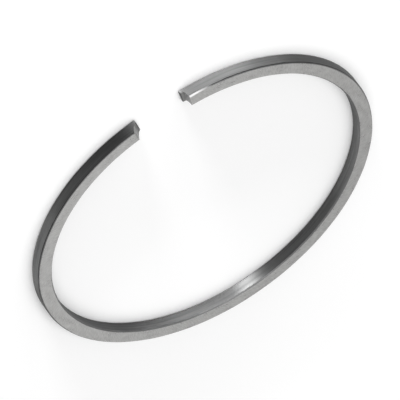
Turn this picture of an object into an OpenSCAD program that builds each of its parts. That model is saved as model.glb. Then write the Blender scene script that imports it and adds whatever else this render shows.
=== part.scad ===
// Piston ring for a small two-stroke engine, lying flat in its free, sprung-open state.
// Sprung open, the ring isn't quite round: its back half opens to a larger radius, and each front
// quarter keeps a tighter one. Each tip has a rounded notch for the locating pin of the groove.

/* [Ring] */
// Outer radius of the back half
back_r = 21.2; // [20.5:0.1:30]
// Outer radius of the two front quarters
front_r = 19.4; // [16:0.1:20.4]
// Radial wall thickness
wall = 1.75; // [1.2:0.05:2.6]
// Axial height
height = 1.5; // [1.2:0.05:2.5]
// Free gap between the two tips, across their outer corners
free_gap = 5.7; // [4.8:0.1:9]
// Chamfer that breaks the four long edges
edge_break = 0.14; // [0.05:0.01:0.2]

/* [Pin notch] */
// Length of the notch back from each tip
notch_len = 0.8; // [0.6:0.05:1]
// Height of the tongue that is left under the notch
tongue_h = 0.45; // [0.3:0.05:0.6]
// Fillet at the root of the notch
notch_fillet = 0.5; // [0.2:0.05:0.55]

/* [Hidden] */

$fn = 180;

// A front quarter turns about a centre this far to the side, so that it meets the back half smoothly
centre_shift = back_r - front_r;
// Angle of a front quarter, from where it leaves the back half to its tip
front_sweep = acos((free_gap / 2 - centre_shift) / front_r);
// How far a cutter stands past the surfaces that it cuts
proud = 0.5;

// Wall section at an outer radius of r, with its four edges broken.
module section(r) {
    inner_r = r - wall;
    polygon([
        [inner_r + edge_break, 0],
        [r - edge_break, 0],
        [r, edge_break],
        [r, height - edge_break],
        [r - edge_break, height],
        [inner_r + edge_break, height],
        [inner_r, height - edge_break],
        [inner_r, edge_break]
    ]);
}

// Side view of a notch. The tip is at x = 0, with the ring behind it at -x.
module notch_profile() {
    difference() {
        translate([-notch_len, tongue_h])
            square([notch_len + proud, height - tongue_h + proud]);
        difference() {
            translate([-notch_len, tongue_h])
                square(notch_fillet);
            translate([notch_fillet - notch_len, tongue_h + notch_fillet])
                circle(r = notch_fillet);
        }
    }
}

// Notch across the whole wall, cut from a tip that lies on the +X axis and faces +Y.
module notch_cutter() {
    translate([front_r - wall - proud, 0, 0])
        rotate([90, 0, 90])
            linear_extrude(wall + 2 * proud)
                notch_profile();
}

// One arm of the ring, in a frame of its own: it leaves the +X axis and turns to its notched tip.
module front_quarter() {
    difference() {
        rotate_extrude(angle = front_sweep)
            section(front_r);
        rotate([0, 0, front_sweep])
            notch_cutter();
    }
}

// The ring, one piece of ground cast iron. The back half lies towards +Y, and the gap faces -Y.
module piston_ring() {
    color([0.60, 0.60, 0.61]) {
        rotate_extrude(angle = 180)
            section(back_r);
        for (side = [0, 1])
            mirror([side, 0, 0])
                translate([centre_shift, 0, 0])
                    mirror([0, 1, 0])
                        front_quarter();
    }
}

piston_ring();
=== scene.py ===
import math
from collections import namedtuple

import bmesh
import bpy
from mathutils import Matrix, Vector


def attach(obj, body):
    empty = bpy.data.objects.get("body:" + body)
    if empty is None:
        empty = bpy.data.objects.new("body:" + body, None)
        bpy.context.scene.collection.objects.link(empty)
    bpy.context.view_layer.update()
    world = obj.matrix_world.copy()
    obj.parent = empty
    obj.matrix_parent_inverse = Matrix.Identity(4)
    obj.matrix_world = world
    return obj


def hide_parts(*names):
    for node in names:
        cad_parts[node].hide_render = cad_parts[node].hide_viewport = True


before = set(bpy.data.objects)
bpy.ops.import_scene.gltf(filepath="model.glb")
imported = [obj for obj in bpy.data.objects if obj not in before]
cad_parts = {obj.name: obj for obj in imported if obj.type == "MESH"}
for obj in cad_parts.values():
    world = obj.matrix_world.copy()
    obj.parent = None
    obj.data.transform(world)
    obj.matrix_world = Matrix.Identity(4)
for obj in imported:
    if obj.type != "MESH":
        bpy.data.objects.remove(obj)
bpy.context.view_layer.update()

MM = 0.001

# Sizes of the ring, in metres, as the CAD solid has them
BACK_R = 21.2 * MM
FRONT_R = 19.4 * MM
WALL = 1.75 * MM
HEIGHT = 1.5 * MM
FREE_GAP = 5.7 * MM
EDGE = 0.14 * MM

# Each front quarter turns about a centre to the side. Lengths run along the outer wall.
CENTRE_SHIFT = BACK_R - FRONT_R
FRONT_SWEEP = math.acos((FREE_GAP / 2 - CENTRE_SHIFT) / FRONT_R)
FRONT_LEN = FRONT_SWEEP * FRONT_R
BACK_LEN = math.pi * BACK_R
LENGTH = 2 * FRONT_LEN + BACK_LEN

# Break of the tips' ends and of the notches' edges
TIP_EDGE = 0.11 * MM
NOTCH_EDGE = 0.03 * MM

# Long edges: how far they bulge, and how much their width changes along the ring
CROWN = 0.05
EDGE_WEAR = 0.12

# Waves of that change: share, pace per millimetre and shift from one edge to the next
WEAR_WAVES = ((0.6, 0.37, 2.1), (0.4, 1.13, 4.7))

# Filed outer edge at the tip towards -X: how much wider it is there, and how far it runs
FILED_GROWTH = 0.25
FILED_LEN = 2.8 * MM

# Worn notches at the tips towards +X and -X: length, height of the tongue, power of the floor's curve
HOLLOW_NOTCH = (0.8 * MM, 0.45 * MM, 1.9)
SQUARE_NOTCH = (0.68 * MM, 0.47 * MM, 7.0)

# Steps of the ring's mesh, and the angle from which an edge of it is sharp
BACK_STEPS = 300
FRONT_STEPS = 150
EDGE_STEPS = 4
NOTCH_STEPS = 20
SHARP_ANGLE = math.radians(20)

# A place along the ring: distance from a tip, height of the top, inset all round, size of the upper edges
Station = namedtuple("Station", "along top inset upper_edge")

# Places of the four edges round the section
LOWER_OUTER, UPPER_OUTER, UPPER_INNER, LOWER_INNER = range(4)

# Places of the materials in the ring's list
FACE, TURNED, OUTER_EDGE, EASED, CUT = range(5)

# The ring's map, in millimetres along the ring and round the section
MAP_NAME = "along_and_round"

# Where the walls' painted shade and the edges' painted highlight start to fade and have gone, in millimetres
# from the tip towards +X
WALL_PAINTED_SHADE_FADE = (2.0, 13.0)
EDGE_PAINTED_HIGHLIGHT_FADE = (LENGTH / MM - 1.7, LENGTH / MM - 3.6)

# Marks of the iron: range of the noise that is used, shade of the coarse ones, depth of the fine ones
NOISE_RANGE = (0.3, 0.7)
COARSE_SHADE = (0.94, 1.06)
RELIEF = 0.02 * MM

# The photograph's camera: a long lens, rolled far over
IMAGE_PX = 400
SENSOR_MM = 36.0
FOCAL_PX = 12000.0
CAMERA_ANGLE = math.radians(-84.705)
CAMERA_ELEVATION = math.radians(33.031)
CAMERA_ROLL = math.radians(143.872)
CAMERA_DISTANCE = 1.31989
CAMERA_TARGET = Vector((0.0004, 0.0, 0.0008))
CLIP_START = 0.01
CLIP_END = 20.0

# Floor: half its width in metres, its tone and its roughness
FLOOR_HALF = 3.0
FLOOR_TONE = 0.97
FLOOR_ROUGHNESS = 0.9

# Low softboxes, for the walls: elevation in degrees, distance and height in metres
LOW = 2.4
LOW_DISTANCE = 0.6
LOW_HEIGHT = 0.042

# Softboxes: angle from +X and elevation in degrees, distance, width and height in metres, and radiance
SOFTBOXES = {
    "key": (-126, LOW, LOW_DISTANCE, 0.46, LOW_HEIGHT, 76.0),
    "flank": (-157, LOW, LOW_DISTANCE, 0.23, LOW_HEIGHT, 30.0),
    "strip": (-94, LOW, LOW_DISTANCE, 0.11, LOW_HEIGHT, 330.0),
    "side": (15, LOW, LOW_DISTANCE, 0.66, LOW_HEIGHT, 14.0),
    "rear": (165, LOW, LOW_DISTANCE, 0.66, LOW_HEIGHT, 4.6),
    "edge": (-105, 57, 0.6, 0.4, 0.3, 1.5),
    "back": (68, 44, 0.315, 0.3, 0.22, 0.28),
    "top": (90, 73, 0.8, 1.6, 1.2, 0.85),
}
FILL = 0.42


def direction(angle, elevation):
    """Unit vector at an angle from +X and an elevation above the floor."""
    level = math.cos(elevation)
    return Vector((level * math.cos(angle), level * math.sin(angle), math.sin(elevation)))


def aim(thing, place, target, roll=0.0):
    """Puts a camera or lamp at a place, looking at the target, turned about its own view line."""
    turn = (target - place).to_track_quat("-Z", "Y").to_matrix().to_4x4()
    thing.matrix_world = Matrix.Translation(place) @ turn @ Matrix.Rotation(roll, 4, "Z")


def add_object(name, data):
    """A new object in the scene."""
    thing = bpy.data.objects.new(name, data)
    bpy.context.scene.collection.objects.link(thing)
    return thing


def add_camera():
    """The camera at the photograph's viewing angle."""
    data = bpy.data.cameras.new("camera")
    data.sensor_width = SENSOR_MM
    data.lens = FOCAL_PX / IMAGE_PX * SENSOR_MM
    data.clip_start = CLIP_START
    data.clip_end = CLIP_END
    camera = add_object("camera", data)
    place = CAMERA_TARGET + CAMERA_DISTANCE * direction(CAMERA_ANGLE, CAMERA_ELEVATION)
    aim(camera, place, CAMERA_TARGET, CAMERA_ROLL)
    bpy.context.scene.camera = camera


def tip_stations(length, tongue, power):
    """Stations from a tip on: its broken end, the floor of its notch, and the edge up to the full section."""
    quarter_turn = [math.pi / 2 * i / EDGE_STEPS for i in range(EDGE_STEPS + 1)]
    stations = []
    for turn in quarter_turn:
        along = TIP_EDGE * (1 - math.cos(turn))
        inset = TIP_EDGE * (1 - math.sin(turn))
        stations.append(Station(along, tongue, inset, NOTCH_EDGE))
    rise = HEIGHT - NOTCH_EDGE - tongue
    for i in range(1, NOTCH_STEPS + 1):
        share = math.sqrt(i / NOTCH_STEPS)
        if share * length > TIP_EDGE:
            stations.append(Station(share * length, tongue + rise * share ** power, 0.0, NOTCH_EDGE))
    for turn in quarter_turn[1:]:
        along = length + NOTCH_EDGE * (1 - math.cos(turn))
        top = HEIGHT - NOTCH_EDGE * (1 - math.sin(turn))
        upper_edge = NOTCH_EDGE + (EDGE - NOTCH_EDGE) * math.sin(turn)
        stations.append(Station(along, top, 0.0, upper_edge))
    return stations


def arm_stations(notch):
    """Stations of a front quarter, from its tip to just before the back half."""
    stations = tip_stations(*notch)
    start = stations[-1].along
    for i in range(1, FRONT_STEPS):
        along = start + (FRONT_LEN - start) * i / FRONT_STEPS
        stations.append(Station(along, HEIGHT, 0.0, EDGE))
    return stations


def ring_stations():
    """All stations, from the tip towards +X round the back to the tip towards -X."""
    stations = arm_stations(HOLLOW_NOTCH)
    for i in range(BACK_STEPS + 1):
        stations.append(Station(FRONT_LEN + BACK_LEN * i / BACK_STEPS, HEIGHT, 0.0, EDGE))
    for station in reversed(arm_stations(SQUARE_NOTCH)):
        stations.append(station._replace(along=LENGTH - station.along))
    return stations


def wall_frame(along):
    """Centre, outward direction and outer radius of the wall at a distance along the ring."""
    if along < FRONT_LEN:
        angle = -FRONT_SWEEP + along / FRONT_R
        centre = Vector((CENTRE_SHIFT, 0, 0))
        radius = FRONT_R
    elif along > LENGTH - FRONT_LEN:
        angle = math.pi + FRONT_SWEEP - (LENGTH - along) / FRONT_R
        centre = Vector((-CENTRE_SHIFT, 0, 0))
        radius = FRONT_R
    else:
        angle = (along - FRONT_LEN) / BACK_R
        centre = Vector((0, 0, 0))
        radius = BACK_R
    return centre, direction(angle, 0.0), radius


def wear(along, edge):
    """Slow change of an edge's width along the ring, different for each of the four edges."""
    x = along / MM
    waves = sum(share * math.sin(pace * x + shift * edge) for share, pace, shift in WEAR_WAVES)
    return 1 + EDGE_WEAR * waves


def section(along, top, inset, upper_edge):
    """Points round the section, as distance in from the outer wall and height."""
    outer, inner = inset, WALL - inset
    low, high = inset, top - inset
    # Each corner's place and size, and the directions from it to the start and to the end of its edge
    corners = [
        (outer, low, EDGE, (1, 0), (0, 1)),
        (outer, high, upper_edge, (0, -1), (1, 0)),
        (inner, high, upper_edge, (-1, 0), (0, -1)),
        (inner, low, EDGE, (0, 1), (-1, 0)),
    ]
    points = []
    for edge, (x, z, size, before, after) in enumerate(corners):
        size *= wear(along, edge)
        if edge == UPPER_OUTER:
            size *= 1 + FILED_GROWTH * max(0.0, 1 - (LENGTH - along) / FILED_LEN)
        for i in range(EDGE_STEPS + 1):
            t = i / EDGE_STEPS
            bulge = 2 * CROWN * t * (1 - t)
            p, q = 1 - t - bulge, t - bulge
            across = x + size * (p * before[0] + q * after[0])
            height = z + size * (p * before[1] + q * after[1])
            points.append((across, height))
    return points


def zone(i, notched, tip):
    """Material of the strip that starts at point i of the section."""
    edge, step = divmod(i, EDGE_STEPS + 1)
    if tip:
        return TURNED
    if notched and edge == UPPER_OUTER:
        return CUT
    if step == EDGE_STEPS:
        return FACE if edge in (UPPER_OUTER, LOWER_INNER) else TURNED
    if edge == UPPER_OUTER and step < EDGE_STEPS // 2:
        return OUTER_EDGE
    return EASED if edge in (UPPER_OUTER, UPPER_INNER) else TURNED


def add_loops(mesh, stations):
    """A loop of points at each station, and the distances of its points round the section in millimetres."""
    loops, rounds = [], []
    for station in stations:
        centre, out, radius = wall_frame(station.along)
        points = section(*station)
        loops.append([mesh.verts.new(centre + out * (radius - x) + Vector((0, 0, z))) for x, z in points])
        distances = [0.0]
        for a, b in zip(points, points[1:] + points[:1]):
            distances.append(distances[-1] + math.dist(a, b) / MM)
        rounds.append(distances)
    return loops, rounds


def add_strips(mesh, uv, stations, loops, rounds):
    """Faces from each loop to the next, with their materials and their places on the map."""
    count = len(loops[0])
    for k, (near, far) in enumerate(zip(stations, stations[1:])):
        notched = min(near.top, far.top) < HEIGHT - NOTCH_EDGE / 2
        tip = max(near.inset, far.inset) > 0
        for i in range(count):
            j = (i + 1) % count
            face = mesh.faces.new((loops[k][i], loops[k][j], loops[k + 1][j], loops[k + 1][i]))
            face.material_index = zone(i, notched, tip)
            places = [
                (near.along / MM, rounds[k][i]),
                (near.along / MM, rounds[k][i + 1]),
                (far.along / MM, rounds[k + 1][i + 1]),
                (far.along / MM, rounds[k + 1][i]),
            ]
            for loop, place in zip(face.loops, places):
                loop[uv].uv = place


def add_ends(mesh, uv, loops):
    """The flat ends of the two tips."""
    for points in (loops[0][::-1], loops[-1]):
        face = mesh.faces.new(points)
        face.material_index = CUT
        for loop in face.loops:
            loop[uv].uv = (loop.vert.co.y / MM, loop.vert.co.z / MM)


def build_ring():
    """The ring as one swept mesh."""
    mesh = bmesh.new()
    uv = mesh.loops.layers.uv.new(MAP_NAME)
    stations = ring_stations()
    loops, rounds = add_loops(mesh, stations)
    add_strips(mesh, uv, stations, loops, rounds)
    add_ends(mesh, uv, loops)
    bmesh.ops.recalc_face_normals(mesh, faces=mesh.faces)
    data = bpy.data.meshes.new("piston_ring_surface")
    mesh.to_mesh(data)
    mesh.free()
    data.shade_smooth()
    data.set_sharp_from_angle(angle=SHARP_ANGLE)
    for material in ring_materials():
        data.materials.append(material)
    return add_object("piston_ring_surface", data)


class Nodes:
    """Short helpers for one material's node tree."""

    def __init__(self, name):
        self.material = bpy.data.materials.new(name)
        self.material.use_nodes = True
        self.tree = self.material.node_tree
        self.shader = self.tree.nodes["Principled BSDF"]

    def feed(self, node, **inputs):
        """Sets a node's sockets to values, or links outputs to them. An underscore stands for a space."""
        for name, value in inputs.items():
            socket = node.inputs[name.replace("_", " ")]
            if isinstance(value, bpy.types.NodeSocket):
                self.tree.links.new(value, socket)
            else:
                socket.default_value = value

    def add(self, kind, **inputs):
        """A new node with its sockets set or linked."""
        node = self.tree.nodes.new(kind)
        self.feed(node, **inputs)
        return node

    def marks(self, scale, turn=0, detail=3.0):
        """Noise over the ring's map, which is turned by degrees and then scaled along and round."""
        place = self.add("ShaderNodeTexCoord").outputs["UV"]
        turned = self.add("ShaderNodeMapping", Vector=place, Rotation=(0, 0, math.radians(turn)))
        scaled = self.add("ShaderNodeMapping", Vector=turned.outputs["Vector"], Scale=(*scale, 1))
        noise = self.add("ShaderNodeTexNoise", Vector=scaled.outputs["Vector"], Scale=1.0, Detail=detail)
        return noise.outputs["Fac"]

    def remap(self, value, start, end, low, high):
        """Maps the range from start to end to the range from low to high."""
        node = self.add("ShaderNodeMapRange", Value=value)
        self.feed(node, From_Min=start, From_Max=end, To_Min=low, To_Max=high)
        return node.outputs["Result"]

    def spread(self, noise, low, high):
        """Maps the middle of a noise to the range from low to high."""
        return self.remap(noise, *NOISE_RANGE, low, high)

    def fade(self, start, end, shade):
        """A shade up to the start, in millimetres along the ring, that fades to 1 at the end."""
        place = self.add("ShaderNodeTexCoord").outputs["UV"]
        along = self.add("ShaderNodeSeparateXYZ", Vector=place).outputs["X"]
        return self.remap(along, start, end, shade, 1.0)

    def times(self, value, factor):
        """Product of an output and a factor, which is another output or a number."""
        node = self.add("ShaderNodeMath")
        node.operation = "MULTIPLY"
        self.tree.links.new(value, node.inputs[0])
        if isinstance(factor, bpy.types.NodeSocket):
            self.tree.links.new(factor, node.inputs[1])
        else:
            node.inputs[1].default_value = factor
        return node.outputs["Value"]


def iron(name, tint, shade, roughness, fine, coarse, bump, fade=None):
    """Bare iron, shaded by its marks. Coarse ones change its roughness, and fine ones stand in relief."""
    nodes = Nodes(name)
    fine_marks = nodes.marks(**fine)
    coarse_marks = nodes.marks(**coarse)
    level = nodes.times(nodes.spread(fine_marks, *shade), nodes.spread(coarse_marks, *COARSE_SHADE))
    if fade:
        level = nodes.times(level, nodes.fade(*fade))
    red, green, blue = [nodes.times(level, share) for share in tint]
    colour = nodes.add("ShaderNodeCombineColor", Red=red, Green=green, Blue=blue)
    relief = nodes.add("ShaderNodeBump", Strength=bump, Distance=RELIEF, Height=fine_marks)
    nodes.feed(
        nodes.shader,
        Metallic=1.0,
        Base_Color=colour.outputs["Color"],
        Roughness=nodes.spread(coarse_marks, *roughness),
        Normal=relief.outputs["Normal"],
    )
    return nodes


def lapped_face():
    """The flat sides, with a fine slanting grain."""
    nodes = iron(
        "lapped_face",
        tint=(0.42, 0.418, 0.411),
        shade=(0.84, 1.16),
        roughness=(0.26, 0.32),
        fine={"scale": (1.8, 9.0), "turn": 55},
        coarse={"scale": (0.5, 1.5)},
        bump=0.07,
    )
    nodes.feed(nodes.shader, Specular_Tint=(0.4, 0.4, 0.4, 1))
    return nodes.material


def turned_wall():
    """The outer and inner walls, streaked along the ring, with a sheen, and darker near the +X tip by painted
    shade.
    """
    nodes = iron(
        "turned_wall",
        tint=(0.122, 0.123, 0.123),
        shade=(0.8, 1.2),
        roughness=(0.44, 0.5),
        fine={"scale": (0.12, 5.0)},
        coarse={"scale": (0.15, 3.0)},
        bump=0.05,
        # Painted shade: the walls' colour darkens towards the +X tip
        fade=(*WALL_PAINTED_SHADE_FADE, 0.42),
    )
    tangent = nodes.add("ShaderNodeTangent")
    tangent.direction_type = "UV_MAP"
    tangent.uv_map = MAP_NAME
    nodes.feed(
        nodes.shader,
        Anisotropic=1.0,
        Anisotropic_Rotation=0.25,
        Specular_Tint=(0.8, 0.8, 0.8, 1),
        Tangent=tangent.outputs["Tangent"],
    )
    return nodes.material


def upper_edge_iron(name, tone, painted_highlight):
    """An upper edge, brighter near the -X tip by the factor painted_highlight: a painted highlight."""
    nodes = iron(
        name,
        tint=(tone, tone, tone),
        shade=(0.92, 1.08),
        roughness=(0.36, 0.42),
        fine={"scale": (0.3, 14.0), "detail": 2.0},
        coarse={"scale": (0.6, 2.0)},
        bump=0.03,
        # Painted highlight: the edge's colour brightens towards the -X tip
        fade=(*EDGE_PAINTED_HIGHLIGHT_FADE, painted_highlight),
    )
    return nodes.material


def cut_end():
    """The notches and the ends of the tips, with coarse cutting marks."""
    nodes = iron(
        "cut_end",
        tint=(0.2, 0.2, 0.198),
        shade=(0.75, 1.25),
        roughness=(0.36, 0.46),
        fine={"scale": (7.0, 1.5), "turn": 10},
        coarse={"scale": (2.0, 2.0)},
        bump=0.25,
    )
    return nodes.material


def ring_materials():
    """The ring's materials, in the order of their places."""
    # The outer edge's very dark tone is painted shade, standing in for a dark reflection along the ring
    outer_edge = upper_edge_iron("outer_edge", tone=0.045, painted_highlight=13.0)
    eased_edge = upper_edge_iron("eased_edge", tone=0.17, painted_highlight=3.4)
    return [lapped_face(), turned_wall(), outer_edge, eased_edge, cut_end()]


def add_floor():
    """A plain pale floor."""
    data = bpy.data.meshes.new("floor")
    corners = [(x * FLOOR_HALF, y * FLOOR_HALF, 0) for x, y in ((-1, -1), (1, -1), (1, 1), (-1, 1))]
    data.from_pydata(corners, [], [(0, 1, 2, 3)])
    nodes = Nodes("floor_white")
    nodes.feed(
        nodes.shader,
        Base_Color=(FLOOR_TONE, FLOOR_TONE, FLOOR_TONE, 1),
        Roughness=FLOOR_ROUGHNESS,
        Specular_IOR_Level=0.0,
    )
    data.materials.append(nodes.material)
    floor = add_object("floor", data)


def add_softboxes():
    """Softboxes that the camera doesn't see, aimed at the middle of the ring."""
    for name, (angle, elevation, distance, width, height, radiance) in SOFTBOXES.items():
        data = bpy.data.lights.new(name, "AREA")
        data.shape = "RECTANGLE"
        data.size = width
        data.size_y = height
        data.energy = radiance * math.pi * width * height
        lamp = add_object(name, data)
        lamp.visible_camera = False
        aim(lamp, distance * direction(math.radians(angle), math.radians(elevation)), Vector((0, 0, 0)))


def add_fill():
    """A dim even light from all round."""
    world = bpy.data.worlds.new("studio")
    bpy.context.scene.world = world
    world.use_nodes = True
    background = world.node_tree.nodes["Background"]
    background.inputs["Color"].default_value = (1, 1, 1, 1)
    background.inputs["Strength"].default_value = FILL


add_camera()
ring = build_ring()
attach(ring, "root")
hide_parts("piston_ring")
add_floor()
add_softboxes()
add_fill()

bpy.context.scene.view_settings.view_transform = "Standard"
